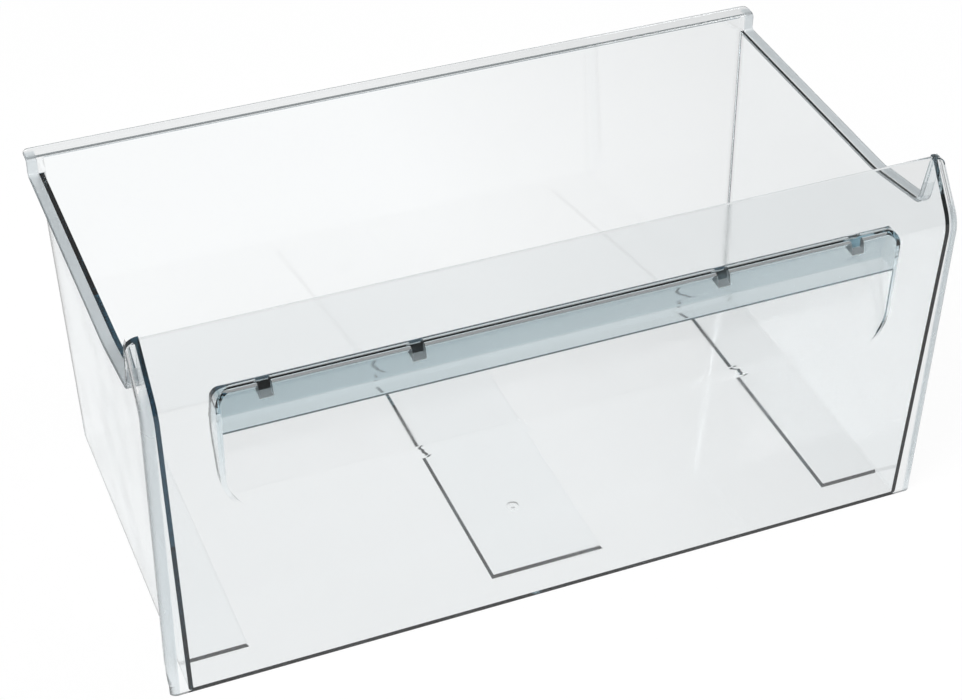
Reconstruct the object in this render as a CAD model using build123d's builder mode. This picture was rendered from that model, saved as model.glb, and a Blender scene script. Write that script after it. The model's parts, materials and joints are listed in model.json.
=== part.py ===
"""Clear freezer drawer, moulded in one piece, with a finger pocket in its front panel.

Units are millimetres. X runs across the width, the front faces -Y and Z is up.
The origin is the middle of the footprint, on the underside of the floor.
Side views are drawn as depth behind the front face against height.
Heights near the open top are given as drops below the panel's top edge.
"""
import os
from math import atan2, cos, radians, sqrt, tan

from build123d import *

os.makedirs("parts", exist_ok=True)

# Overall size
WIDTH = 444.0
DEPTH = 244.0
HEIGHT = 218.0

# Tub
WALL = 2.5
FLOOR_THICKNESS = 1.5
SIDE_LEAN = 1.4
BACK_LEAN = 6.0
CORNER_RADIUS = 2.0
FLOOR_RADIUS = 0.6

# Rims round the open top, with inside radii at the step up to the back
RAIL_DROP = 39.0
SIDE_RIM = 6.0
BACK_RISE = 10.0
BACK_RIM = 8.0
STEP_FOOT_RADIUS = 1.5
STEP_HEAD_RADIUS = 0.7
RIM_CORNER_RADIUS = 3.5
RIM_EDGE_RADIUS = 1.0

# Ears that join the side rims to the top of the front panel
EAR_ARM_LEAN = 4.8
EAR_DIP_RISE = 7.0
EAR_RAMP = 44.0
EAR_RADIUS = 5.0
RAMP_RADIUS = 80.0

# Front panel
BEND_DROP = 28.0
BEND_RADIUS = 22.0
TOP_SETBACK = 23.0
TOP_RADIUS = 0.8
TOP_CORNER_RADIUS = 7.0
PANEL_EDGE_RADIUS = 4.5
EDGE_LIP_DEPTH = 6.5
EDGE_LIP_THICKNESS = 1.8
EDGE_LIP_START = 6.0
EDGE_LIP_TAPER = 16.0

# Finger pocket, which narrows up to the panel's bend, and the grip lip in front of it
POCKET_MARGIN = 38.0
POCKET_DEPTH = 14.5
POCKET_TOP_GAP = 4.5
LIP_HEIGHT = 21.3
LIP_EDGE_RADIUS = 0.8
LIP_ROOT_RADIUS = 1.6
OPENING_HEIGHT = 44.0
KNEE_HEIGHT = 39.0
KNEE_RADIUS = 20.0
FOOT_BLEND_RADIUS = 20.0
POCKET_EDGE_RADIUS = 2.8
POCKET_FOOT_RADIUS = 26.0
POCKET_TOP_RADIUS = 6.0

# Gussets that fill the top of the pocket, placed in from its ends and about its middle
GUSSET_INSET = 23.0
GUSSET_PITCH = 166.0
GUSSET_WIDTH = 7.0
GUSSET_HEIGHT = 6.0

# Floor
STRIP_RISE = 1.4
STRIP_SLOPE = 45.0
STRIP_START = 20.0
MIDDLE_STRIP = 67.0
SIDE_STRIP = 36.0
GATE_BACK = 70.0
GATE_DIAMETER = 7.0
GATE_NUB_DIAMETER = 2.4
GATE_RECESS = 0.8

# How far a cutting shape reaches past the open top
OVERCUT = 50.0

# Sizes that follow from the ones above
rail_height = HEIGHT - RAIL_DROP
back_height = rail_height + BACK_RISE
bend_height = HEIGHT - BEND_DROP
top_lean = atan2(TOP_SETBACK, BEND_DROP)
bend_foot = bend_height - BEND_RADIUS * tan(top_lean / 2)
lip_edge = bend_height - LIP_HEIGHT
pocket_foot = lip_edge - OPENING_HEIGHT
pocket_knee = pocket_foot + KNEE_HEIGHT
pocket_base = pocket_foot - FOOT_BLEND_RADIUS / 2
pocket_half = WIDTH / 2 - POCKET_MARGIN
lip_back = BEND_RADIUS - sqrt((BEND_RADIUS - WALL) ** 2 - (bend_height - bend_foot) ** 2)
side_slope = tan(radians(SIDE_LEAN))
back_slope = tan(radians(BACK_LEAN))
rail_half = WIDTH / 2 - SIDE_RIM
foot_half = rail_half - rail_height * side_slope
floor_half = foot_half + FLOOR_THICKNESS * side_slope
back_top = DEPTH - BACK_RIM
back_foot = back_top - back_height * back_slope
step_depth = back_top - BACK_RISE * back_slope - WALL
panel_back = TOP_SETBACK + WALL / cos(top_lean)
ear_dip = panel_back + EAR_ARM_LEAN
end_gusset = pocket_half - GUSSET_INSET
gusset_places = (-end_gusset, -GUSSET_PITCH / 2, GUSSET_PITCH / 2, end_gusset)
cut_top = HEIGHT + OVERCUT

# Planes whose origin is on the front face, at the middle of the width
side_plane = Plane(origin=(0, -DEPTH / 2, 0), x_dir=(0, 1, 0), z_dir=(1, 0, 0))
front_plane = Plane(origin=(0, -DEPTH / 2, 0), x_dir=(1, 0, 0), z_dir=(0, -1, 0))
floor_plane = Plane(origin=(0, -DEPTH / 2, 0))

panel_corners = [(0, 0), (0, bend_height), (TOP_SETBACK + OVERCUT * tan(top_lean), cut_top)]
rail_corners = [
    (panel_back, HEIGHT),
    (ear_dip, rail_height + EAR_DIP_RISE),
    (ear_dip + EAR_RAMP, rail_height),
    (step_depth, rail_height),
    (step_depth, back_height),
    (DEPTH, back_height),
]
rail_radii = (EAR_RADIUS, RAMP_RADIUS, STEP_FOOT_RADIUS, STEP_HEAD_RADIUS + WALL)
pocket_corners = [
    (0, pocket_foot - FOOT_BLEND_RADIUS),
    (0, pocket_foot),
    (POCKET_DEPTH, pocket_knee),
    (lip_back + POCKET_TOP_GAP, bend_height),
    (lip_back - WALL / 2, bend_height),
]
lip_core = (WALL / 2, lip_edge + WALL)
pocket_radii = (FOOT_BLEND_RADIUS, KNEE_RADIUS, POCKET_EDGE_RADIUS)


def outer_half(height: float) -> float:
    """Half of the tub's outside width at a height."""
    return foot_half + height * side_slope


def outer_back(height: float) -> float:
    """Depth of the back wall's outer face at a height."""
    return back_foot + height * back_slope


def side_edges(band: BuildPart) -> ShapeList[Edge]:
    """Outer edges of a band's front, from its foot to its leaning top."""
    front = band.faces().filter_by(lambda face: face.normal_at().Y < 0)
    ends = front.edges().group_by(Axis.X)
    return ends[0] + ends[-1]


# The tub's outside: a side view swept across the width and trimmed to the leaning side walls
with BuildPart() as tub:
    with BuildSketch(side_plane):
        with BuildLine():
            FilletPolyline(*panel_corners, radius=BEND_RADIUS)
            Polyline(panel_corners[-1], (outer_back(cut_top), cut_top), (back_foot, 0), (0, 0))
        make_face()
    extrude(amount=WIDTH / 2, both=True)
    with BuildSketch(front_plane):
        with BuildLine():
            Polyline(
                (-foot_half, 0),
                (foot_half, 0),
                (outer_half(cut_top), cut_top),
                (-outer_half(cut_top), cut_top),
                close=True,
            )
        make_face()
    extrude(amount=-DEPTH, mode=Mode.INTERSECT)
    back_corners = tub.faces().sort_by(Axis.Y)[-1].edges().sort_by(Axis.X)
    fillet([back_corners[0], back_corners[-1]], radius=CORNER_RADIUS + WALL)
    fillet(tub.edges().filter_by_position(Axis.Z, 0, 0).sort_by(Axis.Y)[1:], radius=FLOOR_RADIUS + FLOOR_THICKNESS)

    # Everything above the panel, the rails and the back is cut away
    with BuildSketch(side_plane):
        with BuildLine():
            FilletPolyline(*rail_corners, radius=rail_radii)
            Polyline(
                rail_corners[-1],
                (DEPTH, cut_top),
                (0, cut_top),
                (0, HEIGHT),
                rail_corners[0],
            )
        make_face()
    extrude(amount=WIDTH / 2, both=True, mode=Mode.SUBTRACT)

# The space inside, open at the top and reaching into the panel, which is put back at its own thickness
with BuildPart() as space:
    with BuildSketch(side_plane):
        with BuildLine():
            Polyline(
                (WALL / 2, FLOOR_THICKNESS),
                (WALL / 2, bend_height),
                (TOP_SETBACK + WALL / 2, HEIGHT),
                (TOP_SETBACK + WALL / 2, cut_top),
                (outer_back(cut_top) - WALL, cut_top),
                (outer_back(FLOOR_THICKNESS) - WALL, FLOOR_THICKNESS),
                close=True,
            )
        make_face()
    extrude(amount=WIDTH / 2, both=True)
    with BuildSketch(front_plane):
        with BuildLine():
            Polyline(
                (WALL - floor_half, FLOOR_THICKNESS),
                (floor_half - WALL, FLOOR_THICKNESS),
                (outer_half(cut_top) - WALL, cut_top),
                (WALL - outer_half(cut_top), cut_top),
                close=True,
            )
        make_face()
    extrude(amount=-DEPTH, mode=Mode.INTERSECT)
    space_corners = space.faces().sort_by(Axis.Y)[-1].edges().sort_by(Axis.X)
    fillet([space_corners[0], space_corners[-1]], radius=CORNER_RADIUS)
    floor_edges = space.edges().filter_by_position(Axis.Z, FLOOR_THICKNESS, FLOOR_THICKNESS)
    fillet(floor_edges.sort_by(Axis.Y)[1:], radius=FLOOR_RADIUS)

    # Shallow raised strips of the floor: one down the middle and one along each side wall
    with BuildSketch(floor_plane.offset(FLOOR_THICKNESS)):
        with Locations((0, STRIP_START)):
            Rectangle(MIDDLE_STRIP, DEPTH, align=(Align.CENTER, Align.MIN))
        with Locations((floor_half - WALL - SIDE_STRIP, STRIP_START)):
            Rectangle(WIDTH, DEPTH, align=(Align.MIN, Align.MIN))
        with Locations((WALL + SIDE_STRIP - floor_half, STRIP_START)):
            Rectangle(WIDTH, DEPTH, align=(Align.MAX, Align.MIN))
    extrude(amount=STRIP_RISE, taper=STRIP_SLOPE, mode=Mode.SUBTRACT)

# The pocket's outside: its wall and ceiling with the hollow filled, its lower corners rounded
with BuildPart() as pocket_body:
    with BuildSketch(side_plane):
        with BuildLine():
            inside = FilletPolyline(*pocket_corners, radius=pocket_radii, mode=Mode.PRIVATE)
            outside = offset(inside, amount=WALL, side=Side.RIGHT, closed=False)
            Polyline(outside @ 1, lip_core, outside @ 0)
        make_face()
    extrude(amount=WIDTH / 2, both=True)
    with BuildSketch(front_plane) as body_outline:
        with Locations((0, pocket_base - WALL)):
            Rectangle(
                2 * (pocket_half + WALL),
                bend_height - pocket_base + 2 * WALL,
                align=(Align.CENTER, Align.MIN),
            )
        fillet(body_outline.vertices().group_by(Axis.Y)[0], radius=POCKET_FOOT_RADIUS + WALL)
        fillet(body_outline.vertices().group_by(Axis.Y)[-1], radius=POCKET_TOP_RADIUS + WALL)
    extrude(amount=-DEPTH / 2, mode=Mode.INTERSECT)

# The grip lip's side view: the panel above the lip's lower edge
with BuildSketch() as lip:
    with BuildLine():
        FilletPolyline(*panel_corners, radius=BEND_RADIUS)
        offset(amount=WALL, side=Side.RIGHT)
    make_face()
    with Locations((0, lip_edge)):
        Rectangle(DEPTH, HEIGHT, align=(Align.CENTER, Align.MIN), mode=Mode.INTERSECT)
    fillet(lip.vertices().group_by(Axis.Y)[0].sort_by(Axis.X)[-1], radius=LIP_EDGE_RADIUS)

# The hollow of the pocket, which reaches up behind the grip lip
with BuildPart() as pocket_space:
    with BuildSketch(side_plane) as hollow:
        with BuildLine():
            FilletPolyline(*pocket_corners, radius=pocket_radii)
            Polyline(
                pocket_corners[-1],
                lip_core,
                (-WALL, lip_edge + WALL),
                (-WALL, pocket_foot - FOOT_BLEND_RADIUS),
                pocket_corners[0],
            )
        make_face()
        add(lip.sketch, mode=Mode.SUBTRACT)
        lip_root = hollow.vertices().sort_by_distance((lip_back, bend_height))[0]
        fillet(lip_root, radius=LIP_ROOT_RADIUS)
    extrude(amount=WIDTH / 2, both=True)
    with BuildSketch(front_plane.offset(WALL)) as hollow_outline:
        with Locations((0, pocket_base)):
            Rectangle(2 * pocket_half, bend_height - pocket_base, align=(Align.CENTER, Align.MIN))
        fillet(hollow_outline.vertices().group_by(Axis.Y)[0], radius=POCKET_FOOT_RADIUS)
        fillet(hollow_outline.vertices().group_by(Axis.Y)[-1], radius=POCKET_TOP_RADIUS)
    extrude(amount=-DEPTH / 2, mode=Mode.INTERSECT)

    # The gussets are left standing in it
    with BuildSketch(front_plane):
        with Locations(*[(place, bend_height) for place in gusset_places]):
            Rectangle(GUSSET_WIDTH, 2 * GUSSET_HEIGHT)
    extrude(amount=-DEPTH / 2, mode=Mode.SUBTRACT)

# What lies behind the panel, between the lips that turn back along its outer edges
with BuildPart() as panel_hollow:
    with BuildSketch(side_plane):
        with BuildLine():
            FilletPolyline(*panel_corners, radius=BEND_RADIUS)
            offset(amount=EDGE_LIP_DEPTH + WALL, side=Side.RIGHT)
        make_face()
        with BuildLine():
            FilletPolyline(*panel_corners, radius=BEND_RADIUS)
            offset(amount=WALL, side=Side.RIGHT)
        make_face(mode=Mode.SUBTRACT)
    extrude(amount=WIDTH / 2 - EDGE_LIP_THICKNESS, both=True)
    fillet(side_edges(panel_hollow), radius=PANEL_EDGE_RADIUS - EDGE_LIP_THICKNESS)

# Front panel with its rounded outer edges, trimmed level at its top
with BuildPart() as panel:
    with BuildSketch(side_plane):
        with BuildLine():
            FilletPolyline(*panel_corners, radius=BEND_RADIUS)
            offset(amount=EDGE_LIP_DEPTH, side=Side.RIGHT)
        make_face()
    extrude(amount=WIDTH / 2, both=True)
    fillet(side_edges(panel), radius=PANEL_EDGE_RADIUS)
    add(panel_hollow.part, mode=Mode.SUBTRACT)
    with BuildSketch(side_plane):
        with Locations((0, HEIGHT)):
            Rectangle(DEPTH, 2 * OVERCUT, align=(Align.MIN, Align.MIN))

        # The lips' lower ends are tapered
        with BuildLine():
            Polyline(
                (WALL, 0),
                (WALL, EDGE_LIP_START),
                (EDGE_LIP_DEPTH, EDGE_LIP_START + EDGE_LIP_TAPER),
                (EDGE_LIP_DEPTH, 0),
                close=True,
            )
        make_face()
    extrude(amount=WIDTH / 2, both=True, mode=Mode.SUBTRACT)
    fillet(panel.edges().filter_by(Axis.X).group_by(Axis.Z)[-1], radius=TOP_RADIUS)

# Rim along the top of each side, from the ear at the front to the step up at the back
with BuildPart() as rims:
    with BuildSketch(side_plane.offset(WIDTH / 2)):
        with BuildLine():
            FilletPolyline(*rail_corners, radius=rail_radii)
            offset(amount=WALL, side=Side.RIGHT)
        make_face()
    extrude(amount=-(SIDE_RIM + WALL + CORNER_RADIUS))
    fillet(rims.edges().filter_by(Axis.Z).group_by(Axis.Y)[-1].sort_by(Axis.X)[-1], radius=RIM_CORNER_RADIUS)
    fillet(rims.faces().sort_by(Axis.X)[-1].edges().filter_by(Axis.Y), radius=RIM_EDGE_RADIUS)
    mirror(about=Plane.YZ)

    # Rim along the top of the back
    with BuildSketch(side_plane) as back_rim:
        with Locations((back_top - WALL / 2, back_height)):
            Rectangle(BACK_RIM + WALL / 2, WALL, align=(Align.MIN, Align.MAX))
        fillet(back_rim.vertices().group_by(Axis.X)[-1], radius=RIM_EDGE_RADIUS)
    extrude(amount=rail_half, both=True)

with BuildPart() as drawer:
    add(tub.part)
    add(rims.part)
    add(space.part, mode=Mode.SUBTRACT)
    add(panel.part)

    # The panel's upper corners are rounded together with the ears
    with BuildSketch(front_plane):
        with Locations((WIDTH / 2, HEIGHT), (-WIDTH / 2, HEIGHT)):
            Rectangle(2 * TOP_CORNER_RADIUS, 2 * TOP_CORNER_RADIUS)
        with Locations(
            (WIDTH / 2 - TOP_CORNER_RADIUS, HEIGHT - TOP_CORNER_RADIUS),
            (TOP_CORNER_RADIUS - WIDTH / 2, HEIGHT - TOP_CORNER_RADIUS),
        ):
            Circle(TOP_CORNER_RADIUS, mode=Mode.SUBTRACT)
    extrude(amount=-DEPTH / 2, mode=Mode.SUBTRACT)

    # Finger pocket behind the grip lip
    add(pocket_body.part)
    add(pocket_space.part, mode=Mode.SUBTRACT)

    # Gate mark in the underside of the floor
    with BuildSketch(floor_plane):
        with Locations((0, GATE_BACK)):
            Circle(GATE_DIAMETER / 2)
            Circle(GATE_NUB_DIAMETER / 2, mode=Mode.SUBTRACT)
    extrude(amount=GATE_RECESS, mode=Mode.SUBTRACT)

drawer.part.label = "drawer"
export_step(drawer.part, "parts/drawer.step")
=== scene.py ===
"""A clear moulded freezer drawer on a pale studio floor, seen as in the photograph.

The drawer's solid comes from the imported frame. This script gives it the finish of clear
polystyrene, builds the studio around it and sets the camera.
All lengths are in metres, in the drawer's own frame: X across, -Y to the front and Z up.
"""
import json
import logging
import math
from dataclasses import dataclass
from enum import Enum
from typing import Any

import bpy
from mathutils import Matrix, Vector

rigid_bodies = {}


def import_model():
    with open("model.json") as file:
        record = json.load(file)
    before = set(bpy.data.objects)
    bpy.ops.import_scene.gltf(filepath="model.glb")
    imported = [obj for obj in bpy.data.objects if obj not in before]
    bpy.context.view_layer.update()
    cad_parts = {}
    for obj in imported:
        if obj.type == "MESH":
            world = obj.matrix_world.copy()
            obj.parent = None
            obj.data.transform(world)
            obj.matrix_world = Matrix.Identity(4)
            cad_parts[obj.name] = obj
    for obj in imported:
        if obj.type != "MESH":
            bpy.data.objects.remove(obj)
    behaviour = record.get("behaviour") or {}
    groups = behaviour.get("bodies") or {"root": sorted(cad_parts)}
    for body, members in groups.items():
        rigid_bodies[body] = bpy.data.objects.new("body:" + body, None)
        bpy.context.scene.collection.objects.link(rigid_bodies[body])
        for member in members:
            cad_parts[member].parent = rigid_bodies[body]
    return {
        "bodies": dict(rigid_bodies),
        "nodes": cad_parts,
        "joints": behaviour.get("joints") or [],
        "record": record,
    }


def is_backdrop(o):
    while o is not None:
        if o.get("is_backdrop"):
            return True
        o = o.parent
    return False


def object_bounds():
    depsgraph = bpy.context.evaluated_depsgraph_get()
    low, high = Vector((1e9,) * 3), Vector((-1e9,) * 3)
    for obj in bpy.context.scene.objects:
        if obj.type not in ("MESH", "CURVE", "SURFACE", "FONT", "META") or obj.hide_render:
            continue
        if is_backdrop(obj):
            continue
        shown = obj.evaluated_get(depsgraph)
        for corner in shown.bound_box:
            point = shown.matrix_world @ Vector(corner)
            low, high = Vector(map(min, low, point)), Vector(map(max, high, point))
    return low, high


LOG = logging.getLogger("freezer_drawer")
Colour = tuple[float, float, float]


class ShownRay(Enum):
    """Rays that bring a surface to the eye, by the names of the Light Path node's sockets."""

    DIRECT = "Is Camera Ray"
    MIRRORED = "Is Glossy Ray"
    THROUGH = "Is Transmission Ray"


@dataclass(frozen=True)
class Zone:
    """A box-shaped part of the moulding, and its mirror image on the other side."""

    middle: tuple[float, float, float]
    size: tuple[float, float, float]
    # The tone painted over the zone: painted shade on the grip band, side rims and panel edges,
    # clear on the gussets.
    surface: Colour
    satin: float
    # Strength of the zone's tone at its left and right ends: painted shade that grades across the
    # drawer.
    painted_shade_across: tuple[float, float] = (1.0, 1.0)

    def inside(self, tree: bpy.types.NodeTree, coords: bpy.types.Node) -> bpy.types.NodeSocket:
        """The zone's strength, which fades from left to right as painted shade across the drawer
        and is nought outside the zone.

        Args:
            tree: The node tree to add to.
            coords: The node that gives places on the moulding.

        Returns:
            The socket that holds the answer.
        """
        split = tree.nodes.new("ShaderNodeSeparateXYZ")
        tree.links.new(coords.outputs["Object"], split.inputs[0])
        aside = tree.nodes.new("ShaderNodeMath")
        aside.operation = "ABSOLUTE"
        tree.links.new(split.outputs["X"], aside.inputs[0])
        reach = self.middle[0] + self.size[0] / 2
        strength = tree.nodes.new("ShaderNodeMapRange")
        strength.inputs["From Min"].default_value = -reach
        strength.inputs["From Max"].default_value = reach
        strength.inputs["To Min"].default_value = self.painted_shade_across[0]
        strength.inputs["To Max"].default_value = self.painted_shade_across[1]
        tree.links.new(split.outputs["X"], strength.inputs["Value"])
        answer = strength.outputs["Result"]
        places = (aside.outputs[0], split.outputs["Y"], split.outputs["Z"])
        for place, middle, length in zip(places, self.middle, self.size):
            near = tree.nodes.new("ShaderNodeMath")
            near.operation = "COMPARE"
            near.inputs[1].default_value = middle
            near.inputs[2].default_value = length / 2
            tree.links.new(place, near.inputs[0])
            both = tree.nodes.new("ShaderNodeMath")
            both.operation = "MULTIPLY"
            tree.links.new(answer, both.inputs[0])
            tree.links.new(near.outputs[0], both.inputs[1])
            answer = both.outputs[0]
        return answer


CLEAR: Colour = (1.0, 1.0, 1.0)
GUSSET_BOX = (0.0074, 0.0088, 0.0068)
GUSSET_SATIN = 0.5
# Painted shade: the handle's lip band is toned darker blue-grey for the light lost in the pocket,
# and the tone weakens towards the right.
PAINTED_SHADE_GRIP_BAND = Zone(
    middle=(0.0, -0.1125, 0.1797),
    size=(0.368, 0.0195, 0.0223),
    surface=(0.637, 0.705, 0.728),
    satin=0.0,
    painted_shade_across=(1.0, 0.69),
)
# Painted shade: the side rims are toned darker grey-blue for the dark room that shows in them.
PAINTED_SHADE_SIDE_RIMS = Zone(
    middle=(0.21935, 0.0125, 0.187),
    size=(0.0063, 0.211, 0.023),
    surface=(0.85, 0.89, 0.91),
    satin=0.3,
)
# Painted shade: the panel's turned-back edge lips are toned grey-blue for the dark surroundings
# that they refract.
PAINTED_SHADE_PANEL_EDGES = Zone(
    middle=(0.2195, -0.118, 0.105),
    size=(0.006, 0.0095, 0.215),
    surface=(0.86, 0.9, 0.92),
    satin=0.22,
)
INNER_GUSSETS = Zone((0.083, -0.1155, 0.187), GUSSET_BOX, CLEAR, GUSSET_SATIN)
OUTER_GUSSETS = Zone((0.161, -0.1155, 0.187), GUSSET_BOX, CLEAR, GUSSET_SATIN)


@dataclass(frozen=True)
class ClearPolystyrene:
    """Finish of the moulding: clear, glossy and faintly blue in the depth of its walls."""

    name: str = "clear_polystyrene"
    surface: Colour = CLEAR
    depth_colour: Colour = (0.55, 0.69, 0.74)
    depth_density: float = 40.0
    ior: float = 1.59
    gloss: tuple[float, float] = (0.02, 0.07)
    haze_scale: float = 24.0
    haze_detail: float = 4.0
    haze_range: tuple[float, float] = (0.4, 0.7)
    wave_scale: float = 11.0
    wave_detail: float = 2.0
    wave_depth: float = 0.0004
    wave_strength: float = 0.12

    def material(self, zones: tuple[Zone, ...]) -> bpy.types.Material:
        """Builds the node material.

        Args:
            zones: The parts of the moulding with a painted tone and added roughness: painted shade
                on the grip band, side rims and panel edges, and the plain clear colour again on the
                gussets.

        Returns:
            The finished material.
        """
        made = bpy.data.materials.new(self.name)
        made.use_nodes = True
        tree = made.node_tree
        tree.nodes.clear()
        out = tree.nodes.new("ShaderNodeOutputMaterial")
        shader = tree.nodes.new("ShaderNodeBsdfPrincipled")
        shader.inputs["Transmission Weight"].default_value = 1.0
        shader.inputs["IOR"].default_value = self.ior
        coords = tree.nodes.new("ShaderNodeTexCoord")
        colour = tree.nodes.new("ShaderNodeRGB").outputs[0]
        colour.default_value = (*self.surface, 1.0)
        gloss = self.haze(tree, coords)
        for zone in zones:
            inside = zone.inside(tree, coords)
            # The zones' tones, painted shade for the most part, go into the base colour.
            colour = self.with_painted_tone(tree, colour, zone, inside)
            gloss = self.dulled(tree, gloss, zone, inside)
        tree.links.new(colour, shader.inputs["Base Color"])
        tree.links.new(gloss, shader.inputs["Roughness"])
        tree.links.new(self.waves(tree, coords), shader.inputs["Normal"])
        depth = tree.nodes.new("ShaderNodeVolumeAbsorption")
        depth.inputs["Color"].default_value = (*self.depth_colour, 1.0)
        depth.inputs["Density"].default_value = self.depth_density
        tree.links.new(shader.outputs["BSDF"], out.inputs["Surface"])
        tree.links.new(depth.outputs["Volume"], out.inputs["Volume"])
        return made

    def with_painted_tone(
        self,
        tree: bpy.types.NodeTree,
        colour: bpy.types.NodeSocket,
        zone: Zone,
        inside: bpy.types.NodeSocket,
    ) -> bpy.types.NodeSocket:
        """Paints a zone's tone over the colour: painted shade on the grip band, side rims and panel
        edges, and the plain clear colour again on the gussets.

        Args:
            tree: The node tree to add to.
            colour: The colour outside the zone.
            zone: The zone.
            inside: The zone's strength, nought outside it.

        Returns:
            The colour socket.
        """
        mix = tree.nodes.new("ShaderNodeMix")
        mix.data_type = "RGBA"
        tone = next(socket for socket in mix.inputs if socket.identifier == "B_Color")
        under = next(socket for socket in mix.inputs if socket.identifier == "A_Color")
        tone.default_value = (*zone.surface, 1.0)
        tree.links.new(colour, under)
        tree.links.new(inside, mix.inputs[0])
        return next(socket for socket in mix.outputs if socket.identifier == "Result_Color")

    def dulled(
        self,
        tree: bpy.types.NodeTree,
        gloss: bpy.types.NodeSocket,
        zone: Zone,
        inside: bpy.types.NodeSocket,
    ) -> bpy.types.NodeSocket:
        """Gives a zone its own roughness on top of what lies there.

        Args:
            tree: The node tree to add to.
            gloss: The roughness outside the zone.
            zone: The zone.
            inside: The zone's strength, nought outside it.

        Returns:
            The roughness socket.
        """
        more = tree.nodes.new("ShaderNodeMath")
        more.operation = "MULTIPLY_ADD"
        more.inputs[1].default_value = zone.satin
        tree.links.new(inside, more.inputs[0])
        tree.links.new(gloss, more.inputs[2])
        return more.outputs[0]

    def haze(self, tree: bpy.types.NodeTree, coords: bpy.types.Node) -> bpy.types.NodeSocket:
        """Faint patches where handling has taken the edge off the gloss.

        Args:
            tree: The node tree to add to.
            coords: The node that gives places on the moulding.

        Returns:
            The roughness socket.
        """
        patches = tree.nodes.new("ShaderNodeTexNoise")
        patches.inputs["Scale"].default_value = self.haze_scale
        patches.inputs["Detail"].default_value = self.haze_detail
        spread = tree.nodes.new("ShaderNodeMapRange")
        spread.inputs["From Min"].default_value = self.haze_range[0]
        spread.inputs["From Max"].default_value = self.haze_range[1]
        spread.inputs["To Min"].default_value = self.gloss[0]
        spread.inputs["To Max"].default_value = self.gloss[1]
        tree.links.new(coords.outputs["Object"], patches.inputs["Vector"])
        tree.links.new(patches.outputs["Fac"], spread.inputs["Value"])
        return spread.outputs["Result"]

    def waves(self, tree: bpy.types.NodeTree, coords: bpy.types.Node) -> bpy.types.NodeSocket:
        """Slow unevenness of large moulded walls, which makes reflections waver.

        Args:
            tree: The node tree to add to.
            coords: The node that gives places on the moulding.

        Returns:
            The normal socket.
        """
        swell = tree.nodes.new("ShaderNodeTexNoise")
        swell.inputs["Scale"].default_value = self.wave_scale
        swell.inputs["Detail"].default_value = self.wave_detail
        bump = tree.nodes.new("ShaderNodeBump")
        bump.inputs["Strength"].default_value = self.wave_strength
        bump.inputs["Distance"].default_value = self.wave_depth
        tree.links.new(coords.outputs["Object"], swell.inputs["Vector"])
        tree.links.new(swell.outputs["Fac"], bump.inputs["Height"])
        return bump.outputs["Normal"]


@dataclass
class DrawerMoulding:
    """The drawer itself, one moulded node of the frame."""

    node: str
    slot: str
    finish: ClearPolystyrene
    zones: tuple[Zone, ...]

    def dress(self, frame: dict[str, Any]) -> bpy.types.Object:
        """Gives the moulding its finish.


        Returns:
            The moulding's object.
        """
        moulding = frame["nodes"][self.node]
        moulding.material_slots[0].material = self.finish.material(self.zones)
        return moulding


@dataclass(frozen=True)
class SoftLamp:
    """A large soft lamp that looks at the drawer."""

    name: str
    place: tuple[float, float, float]
    width: float
    power: float

    def build(self) -> bpy.types.Object:
        """Makes the lamp.

        Returns:
            The lamp's object.
        """
        data = bpy.data.lights.new(self.name, "AREA")
        data.shape = "DISK"
        data.size = self.width
        data.energy = self.power
        lamp = bpy.data.objects.new(self.name, data)
        lamp.location = self.place
        lamp.rotation_euler = Vector(self.place).to_track_quat("Z", "Y").to_euler()
        bpy.context.scene.collection.objects.link(lamp)
        LOG.info("%s at %s", lamp.name, self.place)
        return lamp


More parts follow.
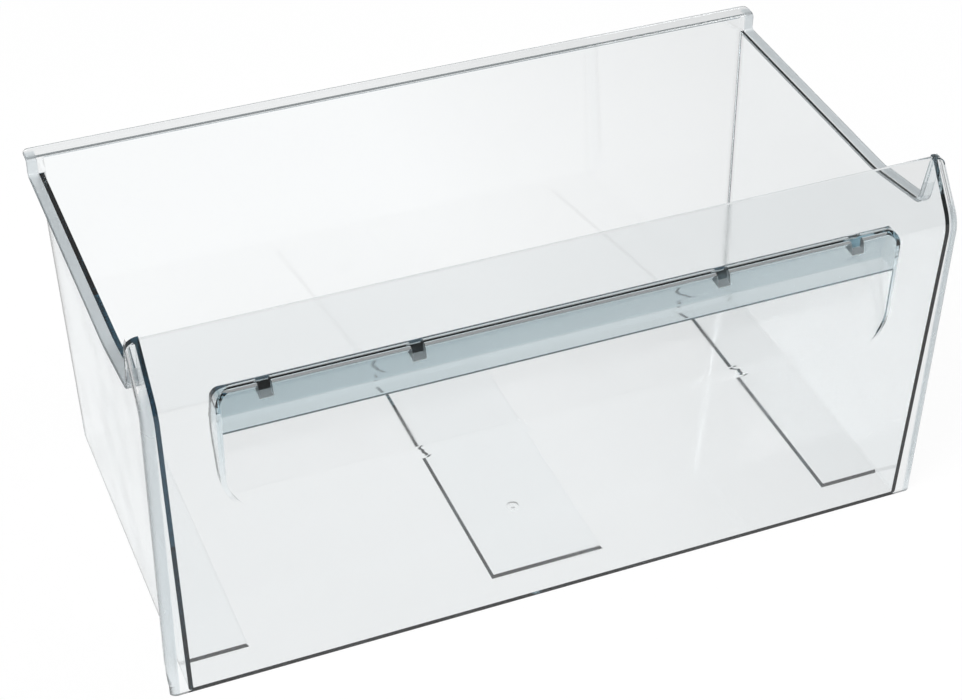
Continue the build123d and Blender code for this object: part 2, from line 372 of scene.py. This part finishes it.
@dataclass
class Studio:
    """White floor, two soft lamps and the grey room that the edges of the plastic show."""

    lamps: tuple[SoftLamp, ...] = (
        SoftLamp("key_lamp", (-1.3, -0.7, 2.1), 1.4, 54.0),
        SoftLamp("fill_lamp", (1.5, -0.3, 2.0), 1.2, 22.0),
    )
    floor_half: float = 6.0
    floor_drop: float = 0.0004
    floor_albedo: float = 0.92
    floor_glow: float = 0.94
    shade: tuple[tuple[float, float], ...] = ((-0.34, 0.6), (-0.22, 1.0), (0.06, 1.0), (0.34, 0.87))
    sky_low: float = 0.42
    sky_high: float = 0.12
    ramp_start: float = 0.8
    ramp_end: float = 0.95

    def build(self) -> None:
        """Builds the floor, the lamps and the world."""
        self.floor()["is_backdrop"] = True
        for lamp in self.lamps:
            lamp.build()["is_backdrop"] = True
        self.world()

    def floor(self) -> bpy.types.Object:
        """Builds the floor, which shows white to the camera and still takes a faint shadow.

        Returns:
            The floor's object.
        """
        half = self.floor_half
        mesh = bpy.data.meshes.new("studio_floor")
        corners = [(-half, -half, -self.floor_drop), (half, -half, -self.floor_drop)]
        corners += [(half, half, -self.floor_drop), (-half, half, -self.floor_drop)]
        mesh.from_pydata(corners, [], [(0, 1, 2, 3)])
        mesh.materials.append(self.floor_material())
        floor = bpy.data.objects.new("studio_floor", mesh)
        bpy.context.scene.collection.objects.link(floor)
        return floor

    def floor_material(self) -> bpy.types.Material:
        """Matte white that is partly its own light for the rays that show it.

        Returns:
            The floor's material.
        """
        made = bpy.data.materials.new("studio_floor_white")
        made.use_nodes = True
        tree = made.node_tree
        tree.nodes.clear()
        out = tree.nodes.new("ShaderNodeOutputMaterial")
        matte = tree.nodes.new("ShaderNodeBsdfDiffuse")
        matte.inputs["Color"].default_value = (*(self.floor_albedo,) * 3, 1.0)
        glow = tree.nodes.new("ShaderNodeEmission")
        tree.links.new(self.floor_level(tree), glow.inputs["Strength"])
        shown = shown_rays(tree)
        share = tree.nodes.new("ShaderNodeMath")
        share.operation = "MULTIPLY"
        share.inputs[1].default_value = self.floor_glow
        mix = tree.nodes.new("ShaderNodeMixShader")
        tree.links.new(shown, share.inputs[0])
        tree.links.new(share.outputs[0], mix.inputs["Fac"])
        tree.links.new(matte.outputs[0], mix.inputs[1])
        tree.links.new(glow.outputs[0], mix.inputs[2])
        tree.links.new(mix.outputs[0], out.inputs["Surface"])
        return made

    def floor_level(self, tree: bpy.types.NodeTree) -> bpy.types.NodeSocket:
        """Level of the floor's light: full to the eye and falling off to both sides in the plastic.

        Args:
            tree: The node tree to add to.

        Returns:
            The strength socket.
        """
        coords = tree.nodes.new("ShaderNodeTexCoord")
        split = tree.nodes.new("ShaderNodeSeparateXYZ")
        span = tree.nodes.new("ShaderNodeMapRange")
        span.inputs["From Min"].default_value = self.shade[0][0]
        span.inputs["From Max"].default_value = self.shade[-1][0]
        ramp = tree.nodes.new("ShaderNodeValToRGB")
        stops = ramp.color_ramp.elements
        for _ in self.shade[2:]:
            stops.new(1.0)
        for stop, (place, share) in zip(stops, self.shade):
            stop.position = (place - self.shade[0][0]) / (self.shade[-1][0] - self.shade[0][0])
            stop.color = (share, share, share, 1.0)
        paths = tree.nodes.new("ShaderNodeLightPath")
        level = tree.nodes.new("ShaderNodeMath")
        level.operation = "MAXIMUM"
        tree.links.new(coords.outputs["Object"], split.inputs[0])
        tree.links.new(split.outputs["X"], span.inputs["Value"])
        tree.links.new(span.outputs["Result"], ramp.inputs["Fac"])
        tree.links.new(ramp.outputs["Color"], level.inputs[0])
        tree.links.new(paths.outputs[ShownRay.DIRECT.value], level.inputs[1])
        return level.outputs[0]

    def world(self) -> None:
        """A grey room that is darker overhead, and white where the camera sees it directly."""
        world = bpy.data.worlds.new("studio_world")
        world.use_nodes = True
        tree = world.node_tree
        tree.nodes.clear()
        out = tree.nodes.new("ShaderNodeOutputWorld")
        light = tree.nodes.new("ShaderNodeBackground")
        coords = tree.nodes.new("ShaderNodeTexCoord")
        split = tree.nodes.new("ShaderNodeSeparateXYZ")
        ramp = tree.nodes.new("ShaderNodeMapRange")
        ramp.interpolation_type = "SMOOTHSTEP"
        ramp.inputs["From Min"].default_value = self.ramp_start
        ramp.inputs["From Max"].default_value = self.ramp_end
        ramp.inputs["To Min"].default_value = self.sky_low
        ramp.inputs["To Max"].default_value = self.sky_high
        paths = tree.nodes.new("ShaderNodeLightPath")
        shown = tree.nodes.new("ShaderNodeMath")
        shown.operation = "MAXIMUM"
        tree.links.new(coords.outputs["Generated"], split.inputs[0])
        tree.links.new(split.outputs["Z"], ramp.inputs["Value"])
        tree.links.new(ramp.outputs["Result"], shown.inputs[0])
        tree.links.new(paths.outputs[ShownRay.DIRECT.value], shown.inputs[1])
        tree.links.new(shown.outputs[0], light.inputs["Strength"])
        tree.links.new(light.outputs[0], out.inputs["Surface"])
        bpy.context.scene.world = world


def shown_rays(tree: bpy.types.NodeTree) -> bpy.types.NodeSocket:
    """One for rays that show a surface to the eye, directly or through plastic, and else nought.

    Args:
        tree: The node tree to add to.

    Returns:
        The socket that holds the answer.
    """
    paths = tree.nodes.new("ShaderNodeLightPath")
    socket = paths.outputs[ShownRay.DIRECT.value]
    for kind in (ShownRay.MIRRORED, ShownRay.THROUGH):
        either = tree.nodes.new("ShaderNodeMath")
        either.operation = "MAXIMUM"
        tree.links.new(socket, either.inputs[0])
        tree.links.new(paths.outputs[kind.value], either.inputs[1])
        socket = either.outputs[0]
    return socket


@dataclass(frozen=True)
class PhotoCamera:
    """Where the photograph was taken from, about the foot of the front panel's middle."""

    azimuth: float = -23.20
    elevation: float = 38.78
    roll: float = 1.38
    lens_mm: float = 82.44
    sensor_mm: float = 36.0
    distance: float = 1.21049
    right: float = 0.04422
    up: float = -0.13060

    def build(self, front: float) -> bpy.types.Object:
        """Makes the scene's camera.

        Args:
            front: The Y place of the front panel's face.

        Returns:
            The camera's object.
        """
        az, el, roll = (math.radians(a) for a in (self.azimuth, self.elevation, self.roll))
        back = Vector((math.sin(az) * math.cos(el), -math.cos(az) * math.cos(el), math.sin(el)))
        level = (-back).cross(Vector((0, 0, 1))).normalized()
        upright = level.cross(-back)
        right = level * math.cos(roll) + upright * math.sin(roll)
        up = upright * math.cos(roll) - level * math.sin(roll)
        place = Vector((0, front, 0)) - right * self.right - up * self.up + back * self.distance
        data = bpy.data.cameras.new("photo_camera")
        data.lens = self.lens_mm
        data.sensor_width = self.sensor_mm
        camera = bpy.data.objects.new("photo_camera", data)
        turn = Matrix((right, up, back)).transposed().to_4x4()
        camera.matrix_world = Matrix.Translation(place) @ turn
        bpy.context.scene.collection.objects.link(camera)
        bpy.context.scene.camera = camera
        return camera


@dataclass(frozen=True)
class LightPaths:
    """How often light may turn inside the clear walls."""

    total: int = 24
    through: int = 24
    mirrored: int = 24

    def apply(self) -> None:
        """Sets the scene's bounce limits."""
        cycles = bpy.context.scene.cycles
        cycles.max_bounces = self.total
        cycles.transmission_bounces = self.through
        cycles.glossy_bounces = self.mirrored
        cycles.caustics_refractive = True
        cycles.caustics_reflective = True


def main() -> None:
    """Builds the drawer's looks, the studio and the camera."""
    logging.basicConfig(level=logging.INFO)
    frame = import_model()
    cad_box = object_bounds()
    bpy.context.scene.view_settings.view_transform = "Standard"
    zones = (PAINTED_SHADE_GRIP_BAND, PAINTED_SHADE_SIDE_RIMS, PAINTED_SHADE_PANEL_EDGES, INNER_GUSSETS, OUTER_GUSSETS)
    moulding = DrawerMoulding("drawer", "clear_plastic", ClearPolystyrene(), zones)
    piece = moulding.dress(frame)
    LOG.info("%s: %d faces", piece.name, len(piece.data.polygons))
    Studio().build()
    PhotoCamera().build(cad_box[0].y)
    LightPaths().apply()


if __name__ == "__main__":
    main()
